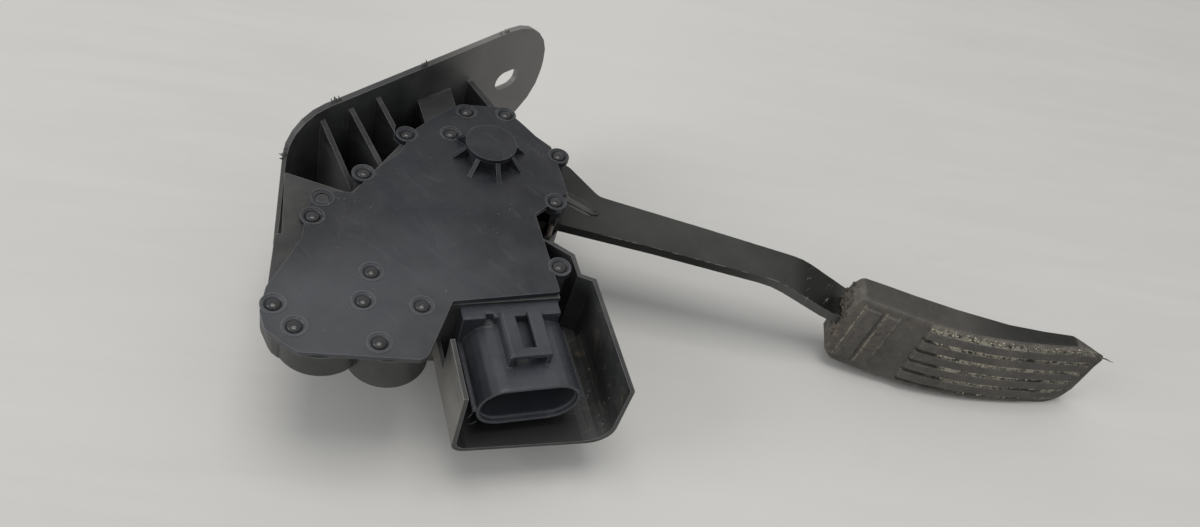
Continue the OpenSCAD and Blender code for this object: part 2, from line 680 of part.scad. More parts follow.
module hub_rivets() {
  color(steel_colour) at_pivot() for (k = rivet_angles)
    rotate([0, 0, k]) translate([rivet_r, 0, 0]) {
      translate([0, 0, hub_low]) cylinder(d = rivet_d, h = hub_top - hub_low);
      translate([0, 0, hub_top]) cylinder(d = 4.4, h = 0.7);
    }
}

// Side profile of the arm as [along, X], and its outline seen from the cover side.
step_end = step_start + step_run;
arm_end = pad_start + 0.56 * pad_len;
module arm_profile() {
  u0 = step_start * cos(step_slant);
  u1 = step_end * cos(step_slant);
  rotate([0, 0, -step_slant]) run_across() polygon(outline([
    [-60, arm_back_x, 0], [u0 - 0.8, arm_back_x, 20],
    [u1 - 0.8, arm_back_x - arm_step, 14], [arm_end + 30, arm_back_x - arm_step, 0],
    [arm_end + 30, arm_face_x - arm_step, 0], [u1 + 0.8, arm_face_x - arm_step, 18],
    [u0 + 0.8, arm_face_x, 16], [-60, arm_face_x, 0]]));
}
module run_across() {
  translate([0, 170, 0]) rotate([90, 0, 0]) linear_extrude(230) children();
}
module arm_outline() {
  polygon(outline([
    [-12.4, -12.4, 11.4], [root_low[0], root_low[1], 10], [root_mid[0], root_mid[1], 8],
    [73, -10.4, 0], [step_start - 6, -9.9, 0], [step_end - 5, -8.8, 0], [pad_start + 6, -8.2, 0],
    [pad_start + 6, 0, 3], [step_end + 4, 6.6, 6], [step_start + 4, 6.7, 0], [92, 8.5, 0],
    [47.5, 9.8, 6], [31.5, 23.4, 5],
    [root_top[0], root_top[1], 10], [root_back[0], root_back[1], 11.4]]));
  // Foot of the arm, which lies along the pad's steel plate
  polygon(concat(
    face_line(pad_skin + pad_plate_t + 2 * seat_gap, 0.04, 0.56, 10), [[arm_end, 0.5], [pad_start + 4, 0.5]]));
}
module pedal_arm() {
  color(arm_colour) along_arm() difference() {
    union() {
      intersection() {
        arm_profile();
        slab(arm_back_x - arm_step - 1, arm_face_x + 1) arm_outline();
      }
      arm_bead();
    }
    translate([0, 0, arm_back_x - 2]) cylinder(r = tube_r, h = arm_t + 6);
    for (k = rivet_angles) rotate([0, 0, k + arm_angle]) translate([rivet_r, 0, arm_back_x - 2])
      cylinder(d = rivet_d, h = arm_t + 4);
  }
}
// Stiffening bead pressed into the root.
module arm_bead() {
  translate([0, 0, arm_face_x - 0.5]) linear_extrude(1.1)
    polygon([[29, 2], [37.7, 0], [45.8, -2.5], [48, -1.6], [48.8, 0.4], [44.5, 3], [39.8, 5.6], [36.3, 8.2], [28, 12]]);
  translate([0, 0, arm_face_x + 0.3]) linear_extrude(0.8)
    polygon([[30, 6.4], [38, 3.2], [45.6, -0.6], [47.6, 0], [44.2, 2.2], [39.4, 4.8], [35.8, 7.2], [29, 9.6]]);
}

// The pad's face is an arc seen from the side; its back is straight.
pad_end = pad_start + pad_len;
pad_back = 2.2;
foot_x = (arm_back_x + arm_face_x) / 2 - arm_step;
pad_mid_x = foot_x + pad_shift;
pad_end_t = 8.6;
pad_near_t = 16.6;
// Depth of the face below the back, from the near end to the far end.
function pad_depth(k) = let (peak = 0.36)
  k < peak ? pad_near_t + (pad_t - pad_near_t) * sin(90 * k / peak)
           : pad_end_t + (pad_t - pad_end_t) * cos(90 * (k - peak) / (1 - peak));
function face_line(d, k0, k1, n) = [for (i = [0:n])
  let (k = k0 + (k1 - k0) * i / n) [pad_start + pad_len * k, pad_back - pad_depth(k) + d]];
module pad_side() {
  polygon(concat(face_line(0, 0.02, 1, 16),
    [[pad_end + 1.2, pad_back - 6.4], [pad_end - 9, pad_back], [pad_start + 1, pad_back],
     [pad_start - 1.5, pad_back - 1.5], [pad_start - 1, pad_back - pad_near_t + 4]]));
}
// The pad seen from the foot: clipped near corner and a far end cut on the slant.
module pad_plan() {
  w = pad_w / 2;
  polygon([
    [pad_start - 3, -w + 4], [pad_start + 3, -w], [pad_end - 14, -w], [pad_end + 0.5, w - 7],
    [pad_end + 1.4, w - 4], [pad_end - 2, w], [pad_start + 1, w], [pad_start - 2.5, w - 4]]);
}
module across_pad(w) {
  translate([0, 0, pad_mid_x - w / 2]) linear_extrude(w) children();
}
module pad_limit() {
  translate([0, 30, pad_mid_x]) rotate([90, 0, 0]) linear_extrude(80) pad_plan();
}
module pedal_pad() {
  color(rubber_colour) along_arm() difference() {
    intersection() {
      union() {
        across_pad(pad_w) pad_side();
        pad_face_ribs();
      }
      pad_limit();
    }
    // Hollow back behind the plate, open to the bulkhead side
    across_pad(pad_w - 7) polygon(concat(
      face_line(pad_skin, 0.05, 0.84, 10),
      [[pad_start + 0.84 * pad_len, pad_back + 4], [pad_start + 0.05 * pad_len, pad_back + 4]]));
    // Way in for the arm through the near end
    translate([0, 0, foot_x - arm_t / 2 - 1.5]) linear_extrude(arm_t + 3) polygon([
      [pad_start - 10, pad_back + 4], [pad_start - 10, -9.6], [pad_start + 10, -9.6],
      [pad_start + 10, pad_back + 4]]);
  }
}
pad_pitch = (pad_w - 4 + pad_groove) / pad_ribs;
module pad_face_ribs() {
  for (i = [0:pad_ribs - 1]) {
    share = i / (pad_ribs - 1);
    k0 = 0.255 + 0.07 * share;
    k1 = 0.84 + 0.135 * share;
    translate([0, 0, pad_mid_x + (i - pad_ribs / 2) * pad_pitch + pad_groove / 2])
      linear_extrude(pad_pitch - pad_groove)
        polygon(concat(face_line(-pad_rib_h, k0, k1, 10),
          [for (p = [0:10]) face_line(0.5, k0, k1, 10)[10 - p]]));
  }
  // Two cross bars near the arm
  for (k = [0.055, 0.13]) across_pad(pad_w - 8)
    polygon(concat(face_line(-pad_rib_h * 0.8, k, k + 0.05, 2),
      [for (p = [0:2]) face_line(0.5, k, k + 0.05, 2)[2 - p]]));
}
// Steel plate that carries the rubber, welded to the arm's end.
module pad_plate() {
  color(steel_colour) along_arm() across_pad(pad_w - 8)
    polygon(concat(face_line(pad_skin + seat_gap, 0.07, 0.81, 10),
      [for (p = [0:10]) face_line(pad_skin + seat_gap + pad_plate_t, 0.07, 0.81, 10)[10 - p]]));
}
module plate_rivets() {
  color(steel_colour) along_arm() for (k = [0.2, 0.45])
    for (s = [-1, 1]) {
      p = face_line(pad_skin + 2 * seat_gap + pad_plate_t, k - 0.02, k + 0.02, 2);
      slope = atan2(p[2][1] - p[0][1], p[2][0] - p[0][0]);
      translate([p[1][0], p[1][1], pad_mid_x + s * 9.5]) rotate([0, 0, slope]) rotate([-90, 0, 0])
        cylinder(d = 6, h = 1);
    }
}

// Rubber buffer that the arm's root meets at full travel.
bumper_a = 8;
bumper_len = 3;
bumper_d = 5;
root_top_pressed = turned(root_top, pedal_travel - arm_angle);
root_back_pressed = turned(root_back, pedal_travel - arm_angle);
bumper_low = root_back_pressed[1] + rest_gap + (root_top_pressed[1] - root_back_pressed[1])
  * (bumper_a + bumper_d / 2 - root_back_pressed[0]) / (root_top_pressed[0] - root_back_pressed[0]);
bumper_x = (arm_back_x + arm_face_x) / 2;
module bumper_post() {
  translate([bumper_a, 27, bumper_x]) rotate([90, 0, 0])
    cylinder(d = bumper_d, h = 27 - bumper_low - bumper_len);
}
module stop_bumper() {
  color([0.1, 0.1, 0.1]) at_pivot() translate([bumper_a, bumper_low + bumper_len, bumper_x])
    rotate([90, 0, 0]) cylinder(d = bumper_d, h = bumper_len);
}

// Extension spring along Z with a hook at each end, as one wire.
function coil_path(n) =
  let (body = spring_span - 13, steps = spring_turns * 8)
  [for (i = [0:steps]) let (a = 360 * spring_turns * i / steps)
    [spring_r * cos(a), spring_r * sin(a), -body / 2 + body * i / steps]];
function hook_path(up) =
  let (r = pin_r + spring_wire / 2 + 0.12, z0 = spring_span / 2)
  [for (k = [0:8]) let (a = up ? -60 + 270 * k / 8 : 210 - 270 * k / 8)
    [r * cos(a), 0, up ? z0 + r * sin(a) : -z0 - r * sin(a)]];
function wire_path() = concat(hook_path(false), coil_path(0), hook_path(true));
function ring(p, t, r, n) =
  let (w = unit(t), s = abs(w[2]) < 0.9 ? [0, 0, 1] : [1, 0, 0], u = unit(cross(w, s)), v = cross(w, u))
  [for (k = [0:n - 1]) p + r * (u * cos(360 * k / n) + v * sin(360 * k / n))];
module return_spring(level) {
  path = wire_path();
  m = len(path);
  n = 6;
  frames = [for (i = [0:m - 1])
    ring(path[i], path[min(m - 1, i + 1)] - path[max(0, i - 1)], spring_wire / 2, n)];
  points = [for (f = frames) each f];
  sides = [for (i = [0:m - 2], k = [0:n - 1])
    [i * n + k, i * n + (k + 1) % n, (i + 1) * n + (k + 1) % n, (i + 1) * n + k]];
  caps = [[for (k = [0:n - 1]) n - 1 - k], [for (k = [0:n - 1]) (m - 1) * n + k]];
  mid = (lug_at + anchor_at) / 2;
  at_pivot() translate([mid[0], mid[1], spring_levels[level]]) rotate([0, 0, 120]) rotate([90, 0, 0])
    polyhedron(points, concat(sides, caps));
}
module return_spring_back() { color(steel_colour) return_spring(0); }
module return_spring_front() { color(steel_colour) return_spring(1); }

housing();
side_cover();
connector_shell();
terminals();
circuit_board();
hall_sensor();
cover_bush();
back_bush();
spring_anchors();
wave_washer();
friction_washer();
stop_pin();
stop_bumper();
return_spring_front();
return_spring_back();
pivot_shaft();
arm_hub();
hub_rivets();
magnet();
pedal_arm();
pad_plate();
plate_rivets();
pedal_pad();
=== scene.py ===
"""Looks for the accelerator pedal: camera, floor, light, materials and small moulded detail."""
import math
import random

import bmesh
import bpy
from mathutils import Matrix, Vector, noise


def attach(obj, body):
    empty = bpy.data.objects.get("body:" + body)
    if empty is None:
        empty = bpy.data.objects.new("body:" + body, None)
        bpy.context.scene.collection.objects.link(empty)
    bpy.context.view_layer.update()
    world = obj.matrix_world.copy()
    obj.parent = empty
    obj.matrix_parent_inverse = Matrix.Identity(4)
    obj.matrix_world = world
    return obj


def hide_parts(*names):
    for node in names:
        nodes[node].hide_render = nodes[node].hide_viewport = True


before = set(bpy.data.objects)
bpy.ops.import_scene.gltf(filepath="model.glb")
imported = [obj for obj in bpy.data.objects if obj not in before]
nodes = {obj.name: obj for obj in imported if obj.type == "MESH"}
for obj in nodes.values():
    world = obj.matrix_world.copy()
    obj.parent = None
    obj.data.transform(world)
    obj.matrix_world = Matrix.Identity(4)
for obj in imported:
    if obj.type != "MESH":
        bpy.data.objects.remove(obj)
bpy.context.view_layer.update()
scene = bpy.context.scene
MM = 0.001

# The side view of the housing and the arm, as in the part's source, in millimetres of the row.
PIVOT = Vector((0, -42.4, -23))
DOWN = Vector((0, -0.5, -0.8660254))
INTO = Vector((0, 0.8660254, -0.5))
ARM_ANGLE = math.radians(23.5)
ALONG = DOWN * math.cos(ARM_ANGLE) - INTO * math.sin(ARM_ANGLE)
TOWARD = DOWN * math.sin(ARM_ANGLE) + INTO * math.cos(ARM_ANGLE)
ACROSS = Vector((1, 0, 0))
COVER_FACE, ARM_FACE = 51.0, 36.4
# The row's own origin, Y and Z, for the marks on the flange and the floor.
ORIGIN, ROW_Y, ROW_Z = Vector(), Vector((0, 1, 0)), Vector((0, 0, 1))
# The rubber pad: its start and length along the arm, its sides, the grooves between its ribs, and
# how far its cross bars slant from side to side.
PAD_START, PAD_LEN = 162.0, 106.0
PAD_LOW, PAD_HIGH = 3.45, 39.95
PAD_WIDE = PAD_HIGH - PAD_LOW
GROOVES = [6.6 + 6.08 * i for i in range(6)]
BAR_SLANT = 2.3
random.seed(7)


def on_side(a, b, x):
    """Point of the housing's side view, x along the pivot axis, in metres."""
    return (PIVOT + DOWN * a + INTO * b + ACROSS * x) * MM


def on_arm(u, v, x):
    """Point of the arm's side view, u along the arm, in metres."""
    return (PIVOT + ALONG * u + TOWARD * v + ACROSS * x) * MM


# ---------------------------------------------------------------- camera and floor
def aim(obj, place, right, up, back):
    m = Matrix((right, up, back)).transposed().to_4x4()
    m.translation = place
    obj.matrix_world = m


CAM_PLACE = Vector((0.3123, -0.2226, 0.1982))
CAM_RIGHT = Vector((0.2518, -0.6984, -0.6700))
CAM_UP = Vector((0.6400, 0.6394, -0.4260))
CAM_BACK = Vector((0.7259, -0.3215, 0.6080))
cam_data = bpy.data.cameras.new("photo_view")
cam_data.sensor_width = 36
cam_data.lens = 29.4
cam_data.clip_start = 0.01
camera = bpy.data.objects.new("photo_view", cam_data)
scene.collection.objects.link(camera)
aim(camera, CAM_PLACE, CAM_RIGHT, CAM_UP, CAM_BACK)
scene.camera = camera

# The pedal lies on the flange's far ear, and tips over until a part in front touches the table.
far_ear = Vector((-14.05, -2.4, 0)) * MM
IN_FRONT = 20 * MM
slope = min((v.co.x - far_ear.x) / (far_ear.y - v.co.y)
            for name in ("pedal_pad", "pedal_arm", "housing")
            for v in nodes[name].data.vertices if v.co.y < far_ear.y - IN_FRONT)
floor_up = Vector((1, slope, 0)).normalized()
floor_side = (CAM_RIGHT - floor_up * CAM_RIGHT.dot(floor_up)).normalized()
floor_away = floor_up.cross(floor_side)


# ---------------------------------------------------------------- node trees
class Tree:
    """Short calls for building a node tree: add a node by type, with its settings and inputs."""

    def __init__(self, tree):
        self.tree = tree

    def add(self, kind, inputs=None, **settings):
        n = self.tree.nodes.new("ShaderNode" + kind)
        for k, v in settings.items():
            setattr(n, k, v)
        for k, v in (inputs or {}).items():
            self.put(n.inputs[k], v)
        return n

    def put(self, socket, v):
        if isinstance(v, bpy.types.Node):
            v = v.outputs[0]
        if isinstance(v, bpy.types.NodeSocket):
            self.tree.links.new(v, socket)
        else:
            socket.default_value = v

    def math(self, op, a, b=0.0):
        return self.add("Math", {0: a, 1: b}, operation=op)

    def times(self, *values):
        v = values[0]
        for w in values[1:]:
            v = self.math("MULTIPLY", v, w)
        return v

    def coords(self, scale=(1, 1, 1), turn=(0, 0, 0)):
        at = self.add("TexCoord").outputs["Object"]
        return self.add("Mapping", {"Vector": at, "Scale": scale, "Rotation": turn})

    def noise(self, at, scale, detail=3.0, rough=0.5, distort=0.0):
        return self.add("TexNoise", {
            "Vector": at, "Scale": scale, "Detail": detail, "Roughness": rough,
            "Distortion": distort})

    def steps(self, v, low, high, to_low=0.0, to_high=1.0):
        return self.add("MapRange", {
            "Value": v, "From Min": low, "From Max": high, "To Min": to_low, "To Max": to_high})

    def reach(self, axis, origin=PIVOT):
        """Millimetres from origin along axis, in the part's own frame."""
        c = self.add("TexCoord").outputs["Object"]
        d = self.add("VectorMath", {0: c, 1: tuple(axis * 1000)}, operation="DOT_PRODUCT")
        return self.math("SUBTRACT", d.outputs["Value"], origin.dot(axis))

    def band(self, v, low, high, soft):
        """1 between low and high, with soft ends."""
        rise = self.steps(v, low - soft, low + soft)
        return self.times(rise, self.steps(v, high + soft, high - soft))

    def zone(self, a, b, x, soft=1.0):
        """1 inside a box of the housing's side view."""
        sides = ((DOWN, a), (INTO, b), (ACROSS, x))
        return self.times(*[self.band(self.reach(axis), lo, hi, soft) for axis, (lo, hi) in sides])

    def mix(self, amount, a, b):
        n = self.add("Mix", data_type="RGBA")
        for key, v in (("Factor", amount), ("A", a), ("B", b)):
            self.put(n.inputs[key], v)
        return n.outputs["Result"]

    def edges(self, radius):
        """1 on sharp edges within radius, 0 on flat faces."""
        bevel = self.add("Bevel", {"Radius": radius}, samples=4)
        geo = self.add("NewGeometry")
        dot = self.add("VectorMath", {0: bevel, 1: geo.outputs["Normal"]}, operation="DOT_PRODUCT")
        return self.steps(dot.outputs["Value"], 0.995, 0.80)

    def bump(self, height, strength, distance, normal=None):
        n = self.add("Bump", {"Height": height, "Strength": strength, "Distance": distance})
        if normal is not None:
            self.put(n.inputs["Normal"], normal)
        return n

    def out(self, shader, normal=None):
        if normal is not None:
            self.put(shader.inputs["Normal"], normal)
        self.put(self.add("OutputMaterial").inputs["Surface"], shader)


def node_tree(name):
    m = bpy.data.materials.new(name)
    m.use_nodes = True
    m.node_tree.nodes.clear()
    return m, Tree(m.node_tree)


def rgb(r, g, b):
    return (r, g, b, 1.0)


# ---------------------------------------------------------------- materials
def moulded(name, base, rough, grain=2200.0, dust=0.35, edge=(0.16, 0.165, 0.175), edge_mm=0.35,
            scuff=0.25, specks=0.0, tone=0.35, soften=0.0, extra=None):
    """Moulded plastic: slow tone changes, fine grain, wiped dust, scuffs, and pale edges that are
    wear and painted edge highlight.
    """
    m, t = node_tree(name)
    at = t.coords()
    slow = t.steps(t.noise(at, 22, 4, 0.6), 0.35, 0.68)
    cloudy = t.steps(t.noise(at, 70, 5, 0.65, 0.4), 0.42, 0.72)
    colour = t.mix(slow, rgb(*[c * (1 - tone) for c in base]), rgb(*[c * (1 + tone) for c in base]))
    colour = t.mix(t.times(cloudy, dust), colour, rgb(0.125, 0.122, 0.115))
    lines = t.noise(t.coords((30, 900, 500), (0.4, 0.7, 0.3)), 1.0, 2, 0.5)
    line_mask = t.times(t.steps(lines, 0.70, 0.76), t.steps(t.noise(at, 55, 2), 0.5, 0.62), scuff)
    colour = t.mix(line_mask, colour, rgb(0.22, 0.215, 0.20))
    if specks:
        spots = t.steps(t.noise(at, 1500, 1, 0.4), 0.755, 0.785)
        near = t.steps(t.noise(at, 38, 2), 0.52, 0.62)
        colour = t.mix(t.times(spots, near, specks), colour, rgb(0.42, 0.40, 0.36))
    patchy = t.math("ADD", t.times(cloudy, 0.6), t.times(slow, 0.4))
    rough_map = t.steps(patchy, 0, 1, rough - 0.06, rough + 0.12)
    smooth = t.add("Bevel", {"Radius": soften * MM}, samples=6) if soften else None
    bump = t.bump(t.noise(at, grain, 2, 0.6), 0.3, 0.00004, smooth)
    bump = t.bump(t.noise(at, 120, 3), 0.15, 0.0002, bump)
    if extra:
        colour, rough_map, bump = extra(t, at, colour, rough_map, bump)
    # Pale sharp edges: edge wear, made bright enough to stand in for edge highlights, so partly
    # painted highlight.
    worn = t.times(t.edges(edge_mm * MM), t.steps(t.noise(at, 160, 3), 0.25, 0.7, 0.35, 1.0))
    colour = t.mix(worn, colour, rgb(*edge))
    s = t.add("BsdfPrincipled", {
        "Base Color": colour, "Roughness": rough_map, "Specular IOR Level": 0.42})
    t.out(s, bump)
    return m


def housing_marks(t, at, colour, rough, bump):
    """Shiny stake heads, dust and painted light on the trough's outer wall and on the flange,
    painted shade on the trough's bed, brown scuffs inside.
    """
    y, z = t.reach(ROW_Y, ORIGIN), t.reach(ROW_Z, ORIGIN)
    proud = t.steps(t.reach(ACROSS), COVER_FACE + 0.05, COVER_FACE + 0.25)
    heads = t.times(proud, t.steps(y, -4.5, -5.5))
    colour = t.mix(heads, colour, rgb(0.030, 0.030, 0.032))
    rough = t.mix(heads, rough, rgb(0.17, 0.17, 0.17))
    # The trough's outer wall made lighter: dust, and painted light on the side that faces the side
    # window.
    patchy = t.steps(t.noise(at, 45, 4), 0.3, 0.6, 0.5, 1.0)
    wall = t.times(t.zone((-31.5, -30.1), (-113, -70), (15, 55), 0.15), patchy)
    colour = t.mix(t.times(wall, 0.85), colour, rgb(0.165, 0.160, 0.145))
    # The flange's lower part made lighter, with a dusty mottle: dust and painted light on faces
    # that the lamps light weakly.
    dust_and_painted_light = t.steps(t.noise(at, 40, 4), 0.2, 0.6, 0.75, 1.0)
    lobe_dust_and_painted_light = t.times(t.steps(y, -4.0, -3.0), t.steps(z, -26, -54), dust_and_painted_light)
    colour = t.mix(t.times(lobe_dust_and_painted_light, 0.9), colour, rgb(0.185, 0.178, 0.168))
    # Painted shade: the trough's bed, down in its recess, darkened nearly to black.
    painted_shade_bed = t.zone((-30, 27.6), (-113, -70), (15, 18.1), 0.2)
    colour = t.mix(t.times(painted_shade_bed, 0.8), colour, rgb(0.010, 0.010, 0.011))
    inside = t.zone((17, 27.6), (-110, -72), (17.8, 48), 0.3)
    brown = t.steps(t.noise(at, 110, 5, 0.7, 0.8), 0.56, 0.72)
    colour = t.mix(t.times(inside, brown, 0.9), colour, rgb(0.130, 0.110, 0.080))
    fleck = t.steps(t.noise(at, 900, 2, 0.5), 0.70, 0.76)
    flecks = t.times(inside, fleck, t.steps(t.noise(at, 60, 2), 0.38, 0.5))
    colour = t.mix(flecks, colour, rgb(0.55, 0.48, 0.36))
    return colour, rough, bump


def cover_marks(t, at, colour, rough, bump):
    """Long crease across the cover's upper part, and a painted sheen that makes the cover lighter
    near the connector.
    """
    (a, b), (end_a, end_b) = (-55.8, -38.0), (-37.1, -58.4)
    length = math.hypot(end_a - a, end_b - b)
    way = (DOWN * (end_a - a) + INTO * (end_b - b)) / length
    side = DOWN * -(end_b - b) / length + INTO * (end_a - a) / length
    start = PIVOT + DOWN * a + INTO * b
    lane = t.band(t.reach(side, start), -0.25, 0.25, 0.3)
    crease = t.times(lane, t.band(t.reach(way, start), 0, length, 2))
    colour = t.mix(t.times(crease, 0.22), colour, rgb(0.070, 0.070, 0.075))
    bump = t.bump(crease, 0.12, 0.0002, bump)
    # Painted sheen: mottled lighter patches on the cover near the connector.
    corner = t.times(t.steps(t.reach(DOWN), 2, -26), t.steps(t.reach(INTO), -28, -62))
    painted_sheen = t.times(corner, t.steps(t.noise(at, 30, 4), 0.3, 0.7, 0.4, 1.0))
    colour = t.mix(t.times(painted_sheen, 0.62), colour, rgb(0.082, 0.084, 0.092))
    smear = t.steps(t.noise(t.coords((1, 0.5, 1.6), (0.5, 0, 0)), 95, 5, 0.7, 1.2), 0.55, 0.70)
    colour = t.mix(t.times(smear, 0.35), colour, rgb(0.060, 0.062, 0.068))
    return colour, rough, bump


def metal(name, base, rough, spots=None, spot_amount=0.4, metallic=1.0):
    """Bare or plated metal with fine tone changes, and broad spots where they are asked for."""
    m, t = node_tree(name)
    at = t.coords()
    fine = t.noise(at, 240, 4, 0.6)
    broad = t.noise(at, 60, 4, 0.6)
    colour = t.mix(t.steps(fine, 0.3, 0.7), rgb(*[c * 0.8 for c in base]), rgb(*base))
    if spots:
        colour = t.mix(t.steps(broad, 0.45, 0.7, 0, spot_amount), colour, rgb(*spots))
    s = t.add("BsdfPrincipled", {
        "Base Color": colour, "Metallic": metallic,
        "Roughness": t.steps(broad, 0.3, 0.7, rough - 0.06, rough + 0.14)})
    t.out(s, t.bump(fine, 0.25, 0.00003))
    return m


def paint_on_steel(name):
    """Dark grey-green coat worn bright on its corners, with painted shade: black over the bend,
    darker at the root, black paint and shade along the near edge, then dust and painted light on it
    further out.
    """
    m, t = node_tree(name)
    at = t.coords()
    slow = t.steps(t.noise(at, 26, 4, 0.6), 0.35, 0.65)
    colour = t.mix(slow, rgb(0.027, 0.0285, 0.026), rgb(0.042, 0.044, 0.041))
    smear = t.steps(t.noise(t.coords((1, 0.35, 0.35)), 130, 4, 0.65, 0.5), 0.52, 0.74)
    colour = t.mix(t.times(smear, 0.12), colour, rgb(0.11, 0.108, 0.10))
    u = t.reach(ALONG)
    # Painted shade: the face beyond the bend, which turns away from the light, nearly black.
    painted_shade_bend = t.band(u, 136, 158, 4)
    colour = t.mix(t.times(painted_shade_bend, 0.95), colour, rgb(0.003, 0.0035, 0.003))
    # Painted shade: darker towards the root, beside the housing.
    colour = t.mix(t.times(t.steps(u, 62, 26), 0.75), colour, rgb(0.007, 0.0075, 0.007))
    # The near edge's side face: black paint and painted shade along its first half.
    normal = t.add("NewGeometry").outputs["Normal"]
    facing = t.add("VectorMath", {0: normal, 1: tuple(-TOWARD)}, operation="DOT_PRODUCT")
    near_edge = t.steps(facing.outputs["Value"], 0.6, 0.8)
    black_paint_and_shade = t.times(near_edge, t.steps(u, 120, 92), 0.97)
    colour = t.mix(black_paint_and_shade, colour, rgb(0.0015, 0.0015, 0.0015))
    # Further out on the near edge's side face: lighter grey, dust and painted light.
    dust_and_painted_light = t.times(near_edge, t.steps(u, 112, 132), 0.8)
    colour = t.mix(dust_and_painted_light, colour, rgb(0.085, 0.088, 0.082))
    hatch = t.noise(t.coords((120, 700, 160), (0.75, 0.2, 0)), 1.0, 3, 0.6)
    patch = t.steps(t.noise(at, 150, 2), 0.42, 0.52)
    scratched = t.times(t.steps(hatch, 0.60, 0.68), t.band(u, 140, 157, 3), patch)
    colour = t.mix(t.times(scratched, 0.6), colour, rgb(0.26, 0.25, 0.22))
    chipped = t.steps(t.noise(at, 300, 4, 0.7), 0.44, 0.56)
    rub = t.times(t.edges(0.4 * MM), chipped, t.steps(u, 48, 58))
    colour = t.mix(rub, colour, rgb(0.36, 0.35, 0.31))
    peel = t.noise(at, 620, 2, 0.5)
    s = t.add("BsdfPrincipled", {
        "Base Color": colour, "Roughness": t.steps(slow, 0, 1, 0.34, 0.46),
        "Specular IOR Level": 0.28})
    t.out(s, t.bump(peel, 0.3, 0.00006, t.bump(t.noise(at, 90, 3), 0.25, 0.0003)))
    return m


# For each groove: where its pale grit starts along the arm, and how much of it there is.
GRIT_MARKS = [(212, 0.30), (203, 0.70), (206, 0.85), (202, 0.95), (197, 0.85), (193, 0.65)]


def pad_marks(t, at, colour):
    """Pale grit packed in the pad's grooves, round its bars and along the edge of its face, with
    painted shade in the grooves and behind the first bar.
    """
    u, x = t.reach(ALONG), t.reach(ACROSS)
    face = t.steps(t.reach(TOWARD), -1, -3)
    grit = t.steps(t.noise(at, 420, 5, 0.8, 0.6), 0.44, 0.54)
    patch = t.steps(t.noise(at, 75, 3), 0.33, 0.50)
    for groove, (start, amount) in zip(GROOVES, GRIT_MARKS):
        here = t.band(x, groove - 0.85, groove + 0.85, 0.25)
        # Painted shade: the groove bottoms darkened.
        painted_shade_groove = t.times(here, t.band(u, 191.5, 271, 0.5), face)
        colour = t.mix(t.times(painted_shade_groove, 0.85), colour, rgb(0.020, 0.018, 0.016))
        grain = t.times(here, t.band(u, start, 270, 1.5), grit, patch, face)
        colour = t.mix(t.times(grain, amount), colour, rgb(0.56, 0.52, 0.42))
    slant = t.math("SUBTRACT", u, t.times(t.math("SUBTRACT", x, PAD_LOW), BAR_SLANT / PAD_WIDE))
    across = t.times(t.band(x, 7, 37, 0.6), face)
    # Lines at the bars' feet: pale grit, except the dark one behind the first bar, which is painted
    # shade.
    for line, tone in ((162.2, 0.40), (169.9, 0.02), (171.6, 0.33), (177.1, 0.30)):
        bar = t.times(t.band(slant, line - 0.35, line + 0.35, 0.3), across, grit)
        colour = t.mix(t.times(bar, 0.7), colour, rgb(tone, tone * 0.88, tone * 0.68))
    rim = t.times(t.band(x, 37.6, 39.2, 0.4), t.band(u, 193, 271, 2), face, grit, patch)
    colour = t.mix(t.times(rim, 0.4), colour, rgb(0.34, 0.30, 0.23))
    mottled = t.steps(t.noise(at, 60, 3), 0.3, 0.6, 0.85, 1.0)
    wall = t.times(t.steps(x, PAD_HIGH - 0.35, PAD_HIGH - 0.15), mottled)
    colour = t.mix(t.times(wall, 0.5), colour, rgb(0.024, 0.023, 0.020))
    colour = t.mix(t.times(wall, t.steps(u, 205, 228), 0.97), colour, rgb(0.006, 0.0065, 0.006))
    crusty = t.steps(t.noise(at, 420, 5, 0.8), 0.48, 0.6)
    neck = t.times(t.steps(u, PAD_START + 2, PAD_START - 3), crusty)
    return t.mix(t.times(neck, 0.5), colour, rgb(0.20, 0.16, 0.12))


def worn_rubber(name, dust_and_painted_light=0.6, marks=None):
    """Dry dark rubber with brown dirt and pale worn edges."""
    m, t = node_tree(name)
    at = t.coords()
    slow = t.steps(t.noise(at, 45, 5, 0.65), 0.33, 0.68)
    colour = t.mix(slow, rgb(0.047, 0.043, 0.039), rgb(0.088, 0.081, 0.072))
    dirt = t.steps(t.noise(at, 240, 5, 0.7, 0.6), 0.48, 0.74)
    colour = t.mix(t.times(dirt, dust_and_painted_light), colour, rgb(0.165, 0.145, 0.115))
    if marks:
        colour = marks(t, at, colour)
    worn = t.times(t.edges(0.6 * MM), t.steps(t.noise(at, 190, 4, 0.7), 0.40, 0.64))
    colour = t.mix(t.times(worn, 0.7), colour, rgb(0.30, 0.27, 0.21))
    s = t.add("BsdfPrincipled", {
        "Base Color": colour, "Roughness": t.steps(dirt, 0, 1, 0.55, 0.86),
        "Specular IOR Level": 0.35})
    fine = t.bump(t.noise(at, 1500, 3, 0.6), 0.35, 0.0001)
    t.out(s, t.bump(t.noise(at, 260, 4), 0.35, 0.0003, fine))
    return m


def laminate(name):
    """Green circuit board with its glass weave showing through."""
    m, t = node_tree(name)
    at = t.coords()
    weave = t.add("TexChecker", {
        "Vector": at, "Scale": 900.0,
        "Color1": rgb(0.03, 0.15, 0.07), "Color2": rgb(0.04, 0.19, 0.09)})
    cloud = t.steps(t.noise(at, 80, 3), 0.4, 0.6, 0, 0.4)
    colour = t.mix(cloud, weave.outputs["Color"], rgb(0.02, 0.10, 0.05))
    s = t.add("BsdfPrincipled", {"Base Color": colour, "Roughness": 0.32, "Coat Weight": 0.4})
    t.out(s, t.bump(weave.outputs["Fac"], 0.1, 0.00003))
    return m


